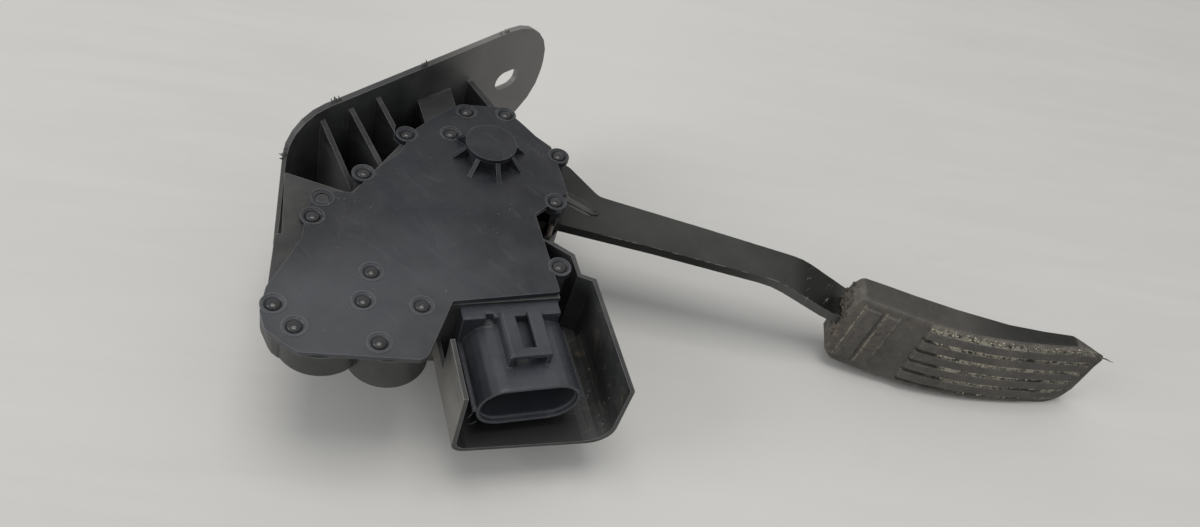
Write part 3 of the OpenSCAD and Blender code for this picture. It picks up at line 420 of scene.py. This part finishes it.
def floor_material():
    """Pale table, which is clear from below so that views from under it work."""
    m, t = node_tree("pale_table")
    at = t.coords()
    soft = t.steps(t.noise(at, 2.2, 3, 0.5), 0.3, 0.7)
    colour = t.mix(soft, rgb(0.545, 0.532, 0.505), rgb(0.600, 0.588, 0.560))
    side = t.times(t.reach(floor_side, ORIGIN), 0.006)
    away = t.times(t.reach(floor_away, ORIGIN), 0.05)
    streak = t.noise(t.add("CombineXYZ", {"X": side, "Y": away}), 1.0, 4, 0.6, 0.6)
    colour = t.mix(t.steps(streak, 0.42, 0.62, 0.0, 0.3), colour, rgb(0.625, 0.605, 0.565))
    smudge = t.steps(t.noise(at, 26, 5, 0.7, 1.0), 0.62, 0.80)
    colour = t.mix(t.times(smudge, 0.12), colour, rgb(0.40, 0.385, 0.36))
    s = t.add("BsdfPrincipled", {
        "Base Color": colour, "Roughness": 0.62, "Specular IOR Level": 0.3})
    t.put(s.inputs["Normal"], t.bump(t.noise(at, 14, 3), 0.12, 0.004))
    back = t.add("NewGeometry").outputs["Backfacing"]
    t.out(t.add("MixShader", {0: back, 1: s, 2: t.add("BsdfTransparent")}))
    return m


# ---------------------------------------------------------------- mesh helpers
def show(name, mesh, material):
    mesh.materials.append(material)
    ob = bpy.data.objects.new(name, mesh)
    scene.collection.objects.link(ob)
    return ob


def mesh_object(name, points, faces, material):
    mesh = bpy.data.meshes.new(name)
    mesh.from_pydata([tuple(p) for p in points], [], faces)
    return show(name, mesh, material)


def from_bmesh(name, bm, material):
    mesh = bpy.data.meshes.new(name)
    bm.to_mesh(mesh)
    bm.free()
    return show(name, mesh, material)


def between(v, table):
    """Piecewise straight line through the table's points."""
    if v <= table[0][0]:
        return table[0][1]
    for (a, fa), (b, fb) in zip(table, table[1:]):
        if v <= b:
            return fa + (fb - fa) * (v - a) / (b - a)
    return table[-1][1]


# ---------------------------------------------------------------- floor, world and lamps
FLOOR_HALF, FLOOR_GAP = 3.0, 0.0001
floor_at = far_ear - floor_up * FLOOR_GAP
corners = [floor_at + (floor_side * i + floor_away * j) * FLOOR_HALF
           for i, j in ((-1, -1), (1, -1), (1, 1), (-1, 1))]
mesh_object("table_top", corners, [(0, 1, 2, 3)], floor_material())

world = bpy.data.worlds.new("studio")
scene.world = world
world.use_nodes = True
world.node_tree.nodes.clear()
wt = Tree(world.node_tree)
path = wt.add("LightPath")
seen = wt.math("MAXIMUM", path.outputs["Is Camera Ray"], path.outputs["Is Transmission Ray"])
seen = wt.math("MAXIMUM", seen, path.outputs["Is Glossy Ray"])
plain = wt.add("Background", {"Color": rgb(0.93, 0.96, 1.0), "Strength": 0.52})
shown = wt.add("Background", {"Color": rgb(0.56, 0.555, 0.54), "Strength": 1.0})
wt.put(wt.add("OutputWorld").inputs["Surface"], wt.add("MixShader", {0: seen, 1: plain, 2: shown}))

MIDDLE = Vector((0.03, -0.10, -0.03))


def lamp(name, side, away, up, size, power, tint):
    """Area lamp, placed from the middle of the part along the floor's own directions."""
    data = bpy.data.lights.new(name, "AREA")
    data.shape = "RECTANGLE"
    data.size, data.size_y = size
    data.energy = power
    data.color = tint
    ob = bpy.data.objects.new(name, data)
    scene.collection.objects.link(ob)
    reach = floor_side * side + floor_away * away + floor_up * up
    back = reach.normalized()
    right = floor_away.cross(back).normalized()
    aim(ob, MIDDLE + reach, right, back.cross(right), back)


lamp("key_overhead", -0.1, 0.0, 1.7, (1.0, 0.9), 12.6, (1.0, 0.985, 0.955))
lamp("side_window", -3.2, -1.0, 1.6, (2.4, 1.8), 52, (0.98, 0.985, 1.0))
scene.view_settings.view_transform = "Standard"

# ---------------------------------------------------------------- looks of the CAD nodes
zinc = metal("zinc_plate", (0.62, 0.61, 0.58), 0.34, (0.35, 0.30, 0.22), 0.35)
bronze = metal("sintered_bronze", (0.55, 0.36, 0.18), 0.45, (0.25, 0.16, 0.09), 0.5)
wire = metal("spring_wire", (0.36, 0.35, 0.34), 0.32, (0.10, 0.08, 0.06), 0.4)
housing_look = moulded("housing_plastic", (0.029, 0.030, 0.030), 0.46, dust=0.25,
                       edge=(0.28, 0.28, 0.27), scuff=0.4, extra=housing_marks)
shell_look = moulded("socket_plastic", (0.034, 0.036, 0.043), 0.27, dust=0.12,
                     edge=(0.22, 0.225, 0.24), scuff=0.2, soften=1.5)
pad_look = worn_rubber("pad_rubber", 0.5, pad_marks)
LOOKS = {
    "housing": housing_look,
    "side_cover": moulded("cover_plastic", (0.0125, 0.0138, 0.018), 0.42, grain=1700, dust=0.10,
                          edge=(0.19, 0.195, 0.21), scuff=0.3, specks=0.45, extra=cover_marks),
    "connector_shell": shell_look,
    "terminals": metal("tinned_brass", (0.62, 0.58, 0.48), 0.30),
    "circuit_board": laminate("board_laminate"),
    "hall_sensor": moulded("sensor_package", (0.02, 0.02, 0.021), 0.5, dust=0.05),
    "cover_bush": bronze,
    "back_bush": bronze,
    "spring_anchors": zinc,
    "wave_washer": zinc,
    "friction_washer": worn_rubber("fibre_lining", 0.8),
    "stop_pin": metal("dull_pin", (0.22, 0.19, 0.16), 0.6, (0.12, 0.09, 0.06), 0.6, 0.2),
    "stop_bumper": worn_rubber("bumper_rubber", 0.1),
    "return_spring_front": wire,
    "return_spring_back": wire,
    "pivot_shaft": zinc,
    "arm_hub": moulded("hub_plastic", (0.03, 0.03, 0.032), 0.5, dust=0.1),
    "hub_rivets": zinc,
    "magnet": metal("magnet_black", (0.16, 0.16, 0.17), 0.5),
    "pedal_arm": paint_on_steel("arm_coat"),
    "pad_plate": paint_on_steel("plate_coat"),
    "plate_rivets": zinc,
    "pedal_pad": pad_look,
}
for name, look in LOOKS.items():
    ob = nodes[name]
    for slot in ob.material_slots:
        slot.material = look
    if not ob.material_slots:
        ob.data.materials.append(look)


# ---------------------------------------------------------------- flash and burrs
def sliver(name, path_points, radius, material, body, sides=6):
    """Thin tapering thread of plastic through the given points."""
    points, faces = [], []
    last = len(path_points) - 1
    for i, p in enumerate(path_points):
        way = (path_points[min(last, i + 1)] - path_points[max(0, i - 1)]).normalized()
        u = way.orthogonal().normalized()
        v = way.cross(u)
        r = radius * (1 - 0.8 * i / last)
        for k in range(sides):
            a = 2 * math.pi * k / sides
            points.append(p + (u * math.cos(a) + v * math.sin(a)) * r)
    for i in range(last):
        for k in range(sides):
            a, b = i * sides + k, i * sides + (k + 1) % sides
            faces.append((a, b, b + sides, a + sides))
    faces += [tuple(reversed(range(sides))), tuple(range(last * sides, last * sides + sides))]
    ob = mesh_object(name, points, faces, material)
    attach(ob, body)


# Parting-line nibs on the flange's edge: X and Z of each group, and the way that it stands out.
NIBS = [((66.4, -65.7), (1, 0)), ((66.2, -22.5), (1, 0.1)),
        ((64.9, 18.8), (1, 0.15)), ((48.6, 40.4), (0.8, 0.6))]
for i, ((x, z), (dx, dz)) in enumerate(NIBS):
    out = Vector((dx, 0, dz)).normalized()
    edge = Vector((-out.z, 0, out.x))
    for k in range(4):
        root = Vector((x, random.uniform(-1.8, -0.8), z)) - out * 0.6
        root += edge * (k - 1.5) * random.uniform(1.0, 1.5)
        lean = edge * random.uniform(-0.5, 0.5)
        way = (out + lean + Vector((0, random.uniform(-0.3, 0.3), 0))).normalized()
        tall = random.uniform(2.6, 3.3)
        thread = [(root + way * q * tall) * MM for q in (0, 0.5, 1.0)]
        sliver("flange_nib_%d_%d" % (i, k), thread, 0.5 * MM, housing_look, "frame")
# Burrs on the connector's mouth.
BURRS = [[(-23.7, -102.6, 31.6), (-24.9, -103.6, 31.2), (-25.6, -104.2, 31.4)],
         [(14.3, -102.4, 35.4), (15.4, -103.2, 35.9), (15.9, -104.2, 35.8)],
         [(11.3, -102.5, 24.9), (13.2, -103.0, 24.3), (14.9, -103.2, 24.6)],
         [(-21.5, -102.5, 25.9), (-23.0, -103.0, 25.2), (-24.6, -103.0, 25.5)]]
for i, line in enumerate(BURRS):
    thread = [on_side(*p) for p in line]
    sliver("socket_burr_%d" % i, thread, 0.28 * MM, shell_look, "frame")


# ---------------------------------------------------------------- bead on the arm's root
# Its ends along the arm, half its width, its height, and two points of its middle line.
BEAD_START, BEAD_END, BEAD_HALF, BEAD_TALL = 25.0, 48.5, 4.6, 1.7
BEAD_LINE = ((29.0, 6.4), (46.5, 0.2))
# How deep its foot is sunk in the arm, where its tip starts as a share of its length, and the area
# in square metres from which a face is one of the flat ones underneath.
BEAD_SUNK, BEAD_TIP, BEAD_FLAT = 0.15, 0.7, 2e-6


def pressed_bead(rows=32, columns=16):
    """Soft ridge on the arm's face; past BEAD_TIP of its length it closes in a round tip."""
    (u_a, v_a), (u_b, v_b) = BEAD_LINE
    bm = bmesh.new()
    grid = []
    for i in range(rows + 1):
        u = BEAD_START + (BEAD_END - BEAD_START) * i / rows
        middle = v_a + (v_b - v_a) * (u - u_a) / (u_b - u_a)
        tip = math.sqrt(max(0.0004, 1 - max(0.0, (i / rows - BEAD_TIP) / (1 - BEAD_TIP)) ** 2))
        grid.append([])
        for j in range(columns + 1):
            q = 2 * j / columns - 1
            up = BEAD_TALL * tip * math.cos(q * math.pi / 2) ** 1.5 if abs(q) < 1 else 0.0
            place = on_arm(u, middle + BEAD_HALF * tip * q, ARM_FACE - BEAD_SUNK + up)
            grid[i].append(bm.verts.new(place))
    for a, b in zip(grid, grid[1:]):
        for j in range(columns):
            bm.faces.new((a[j], a[j + 1], b[j + 1], b[j]))
        bm.faces.new((a[0], b[0], b[-1], a[-1]))
    bm.faces.new(list(reversed(grid[0])))
    bm.faces.new(grid[-1])
    bmesh.ops.recalc_face_normals(bm, faces=bm.faces)
    for face in bm.faces:
        face.smooth = len(face.verts) == 4 and face.calc_area() < BEAD_FLAT
    return bm


bead = from_bmesh("arm_bead", pressed_bead(), LOOKS["pedal_arm"])
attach(bead, "pedal")


# ---------------------------------------------------------------- the rubber pad
# The CAD pad's face line: its height at the near end, where it is deepest and at the far end, and
# the share of its length at which it is deepest.
FACE_NEAR, FACE_DEEP, FACE_FAR, FACE_BEND = -14.4, -18.0, -6.4, 0.36
# How far the face tilts from side to side, and the back's line as [u, v].
TILT = 4.5
BACK = [(156, -1.0), (158.5, 1.2), (162.6, 2.4), (172, 1.6), (185, 0.2), (204, -1.2), (228, -1.6),
        (245, 0.2), (258, 2.3), (266, 0.4), (274, -1.9)]
# Outlines seen from the face, as [x, u]: the two ends, and the far end of the ribs.
NEAR_END = [(3.45, 164.0), (4.6, 161.5), (7.5, 158.8), (30, 158.4), (35.5, 159.4), (38.6, 161.2),
            (39.95, 163.6)]
FAR_END = [(3.45, 266.5), (4.6, 268.9), (8, 271.3), (14, 273.2), (34, 274.6), (36.8, 273.6),
           (39.2, 262.0), (39.95, 258.5)]
RIB_END = [(3.45, 250), (7, 254), (13, 266.8), (20, 270.3), (36, 271.4), (39.95, 256.5)]
BAR_HEIGHT = 0.9
PLAIN, RIB, BAR = range(3)


def plain_face(u):
    """The CAD pad's face line: a quarter sine down to its deepest place, then a quarter cosine."""
    k = min(1.0, max(0.0, (u - PAD_START) / PAD_LEN))
    if k < FACE_BEND:
        return FACE_NEAR + (FACE_DEEP - FACE_NEAR) * math.sin(math.pi / 2 * k / FACE_BEND)
    turn = math.pi / 2 * (k - FACE_BEND) / (1 - FACE_BEND)
    return FACE_FAR + (FACE_DEEP - FACE_FAR) * math.cos(turn)


def face_at(u, x):
    return plain_face(u) + TILT * (x - PAD_LOW) / PAD_WIDE


def pad_columns():
    """Places across the pad: x, the height of a rib and of a cross bar there, and the drop."""
    cols = [(3.45, 0.0, 0.0, 1.2), (3.8, 0.0, 0.0, 0.35), (4.5, 0.6, 0.0, 0.0),
            (5.6, 0.7, 0.0, 0.0), (5.95, 0.0, 0.0, 0.0)]
    for a, b in zip(GROOVES, GROOVES[1:]):
        profile = ((a + 0.6, 0.0), (a + 0.85, 0.9), (a + 1.3, 1.15), ((a + b) / 2, 1.2),
                   (b - 1.3, 1.15), (b - 0.85, 0.9), (b - 0.6, 0.0))
        cols += [(x, rib, BAR_HEIGHT if 7.6 < x < 36.0 else 0.0, 0.0) for x, rib in profile]
    cols += [(37.5, 0.0, 0.0, 0.0), (37.9, 0.5, 0.0, 0.0), (38.8, 0.5, 0.0, 0.1),
             (39.5, 0.0, 0.0, 0.5), (39.95, 0.0, 0.0, 1.3)]
    return cols


def pad_rows(x):
    """Places along the pad at x, each on the plain face, on the ribs or on a cross bar."""
    s = (x - PAD_LOW) / PAD_WIDE
    slant = BAR_SLANT * s
    near, far = between(x, NEAR_END), between(x, FAR_END)
    bars = ((max(162.8 + slant, near + 2.0), 169.4 + slant), (172.0 + slant, 176.7 + slant))
    start, end = 191.0 + 1.8 * s, min(between(x, RIB_END), far - 1.5)
    rows = [(near, PLAIN), (near + 0.35, PLAIN), (near + 1.2, PLAIN)]
    for a, b in bars:
        rows += [(a, PLAIN), (a + 0.3, BAR), (a + (b - a) / 3, BAR),
                 (a + (b - a) * 2 / 3, BAR), (b - 0.3, BAR), (b, PLAIN)]
    rows += [(b + (start - b) * k / 5, PLAIN) for k in range(1, 5)]
    rows += [(start, PLAIN), (start + 0.35, RIB)]
    rows += [(start + 0.35 + (end - start - 0.7) * k / 44, RIB) for k in range(1, 44)]
    rows += [(end - 0.35, RIB), (end, PLAIN)]
    rows += [(end + (far - end) * k, PLAIN) for k in (0.5, 0.85, 1.0)]
    return rows


def pad_body():
    """Closed skin of the pad: ribbed face, side walls and curved back."""
    cols = pad_columns()
    table = [pad_rows(c[0]) for c in cols]
    n, m = len(cols), len(table[0])
    bm = bmesh.new()
    face, back = [], []
    for i, (x, rib, bar, drop) in enumerate(cols):
        face.append([])
        back.append([])
        for j, (u, kind) in enumerate(table[i]):
            end = 1.0 if j in (0, m - 1) else (0.35 if j in (1, m - 2) else 0.0)
            rough = noise.noise(Vector((u * 0.55, x * 0.8, 3.0)))
            worn = max(0.0, noise.noise(Vector((u * 0.9, x * 1.3, 9.0)))) * 0.5
            up = {PLAIN: 0.0, RIB: rib, BAR: bar}[kind]
            v = face_at(u, x) - max(0.0, up - worn * (up > 0)) - 0.10 * rough + max(drop, end)
            face[i].append(bm.verts.new(on_arm(u, v, x)))
            v = between(u, BACK) - 0.6 * max(min(drop, 1.0), 0.6 * end)
            back[i].append(bm.verts.new(on_arm(u, v, x)))
    for i in range(n - 1):
        for j in range(m - 1):
            bm.faces.new((face[i][j], face[i][j + 1], face[i + 1][j + 1], face[i + 1][j]))
            bm.faces.new((back[i][j], back[i + 1][j], back[i + 1][j + 1], back[i][j + 1]))
    for j in range(m - 1):
        bm.faces.new((face[0][j], back[0][j], back[0][j + 1], face[0][j + 1]))
        bm.faces.new((face[-1][j], face[-1][j + 1], back[-1][j + 1], back[-1][j]))
    for i in range(n - 1):
        bm.faces.new((face[i][0], face[i + 1][0], back[i + 1][0], back[i][0]))
        bm.faces.new((face[i][-1], back[i][-1], back[i + 1][-1], face[i + 1][-1]))
    bmesh.ops.recalc_face_normals(bm, faces=bm.faces)
    return bm


def block(stations, x0, x1):
    """Closed block between two sides, from [u, v bottom, v top] along the arm."""
    bm = bmesh.new()
    rings = []
    for u, lo, hi in stations:
        ring = ((lo, x0), (lo, x1), (hi, x1), (hi, x0))
        rings.append([bm.verts.new(on_arm(u, v, x)) for v, x in ring])
    for a, b in zip(rings, rings[1:]):
        for k in range(4):
            bm.faces.new((a[k], a[(k + 1) % 4], b[(k + 1) % 4], b[k]))
    bm.faces.new(rings[0])
    bm.faces.new(list(reversed(rings[-1])))
    bmesh.ops.recalc_face_normals(bm, faces=bm.faces)
    return bm


# The back is open: a hollow that leaves RUBBER over the plate, and the arm's way into it.
RUBBER = 4.4
HOLLOW_START, HOLLOW_LEN = 167.3, 83.7
pad = from_bmesh("rubber_pad", pad_body(), pad_look)
stations = [HOLLOW_START + HOLLOW_LEN * k / 10 for k in range(11)]
hollow = block([(u, plain_face(u) + RUBBER, 8.0) for u in stations], 7.1, 36.3)
way_in = block([(148.0, -9.6, 8.0), (172.0, -9.6, 8.0)], 19.2, 26.2)
for name, bm in (("pad_hollow", hollow), ("pad_way_in", way_in)):
    tool = from_bmesh(name, bm, pad_look)
    cut = pad.modifiers.new(name, "BOOLEAN")
    cut.operation, cut.solver, cut.object = "DIFFERENCE", "EXACT", tool
cut_mesh = bpy.data.meshes.new_from_object(pad.evaluated_get(bpy.context.evaluated_depsgraph_get()))
pad.modifiers.clear()
pad.data = cut_mesh
for name in ("pad_hollow", "pad_way_in"):
    bpy.data.objects.remove(bpy.data.objects[name])
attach(pad, "pedal")
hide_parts("pedal_pad")
# A thread of rubber on the pad's far tip.
WHISKER = [(272.0, -3.0, 36.4), (274.4, -3.6, 37.0), (275.8, -4.4, 37.2), (277.0, -5.0, 37.6)]
sliver("pad_whisker", [on_arm(*p) for p in WHISKER], 0.42 * MM, pad_look, "pedal")


def crumbs(name, places, material, body):
    """Small irregular lumps at the given places, each with its own size."""
    bm = bmesh.new()
    for at, size in places:
        lump = bmesh.ops.create_icosphere(bm, subdivisions=1, radius=size * MM)["verts"]
        stretch = Vector([random.uniform(0.55, 1.3) for _ in range(3)])
        for v in lump:
            v.co = Vector([c * k * random.uniform(0.75, 1.2) for c, k in zip(v.co, stretch)]) + at
    ob = from_bmesh(name, bm, material)
    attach(ob, body)


grit_look = moulded("dried_grit", (0.38, 0.35, 0.27), 0.85, dust=0.2,
                    edge=(0.42, 0.39, 0.31), scuff=0.0, tone=0.3)
torn_look = moulded("torn_rubber", (0.055, 0.043, 0.032), 0.8, dust=0.2,
                    edge=(0.12, 0.10, 0.07), scuff=0.0, tone=0.5)
# Grit in the grooves, with its start along the arm and its count in each, and along the high rim.
GRIT = ((215, 8), (208, 34), (206, 46), (202, 52), (197, 46), (193, 50))
places = []
for groove, (start, count) in zip(GROOVES, GRIT):
    for _ in range(count):
        u = random.uniform(start, between(groove, RIB_END) - 1)
        x = groove + random.uniform(-0.4, 0.4)
        places.append((on_arm(u, face_at(u, x) - 0.2, x), random.uniform(0.28, 0.62)))
for _ in range(26):
    u, x = random.uniform(196, 262), random.uniform(38.0, 39.0)
    places.append((on_arm(u, face_at(u, x) - 0.45, x), random.uniform(0.2, 0.45)))
crumbs("groove_grit", places, grit_look, "pedal")
# Torn rubber on the near end, mostly beside the arm's way in.
TORN = ((26.4, 37.5), (26.4, 30), (15.5, 19))
places = []
for _ in range(40):
    x = random.choice([random.uniform(lo, hi) for lo, hi in TORN])
    v = random.uniform(-11.5, 1.0)
    u = between(x, NEAR_END) - random.uniform(-0.1, 0.5)
    places.append((on_arm(u, v, x), random.uniform(0.35, 0.95)))
crumbs("torn_crumbs", places, torn_look, "pedal")
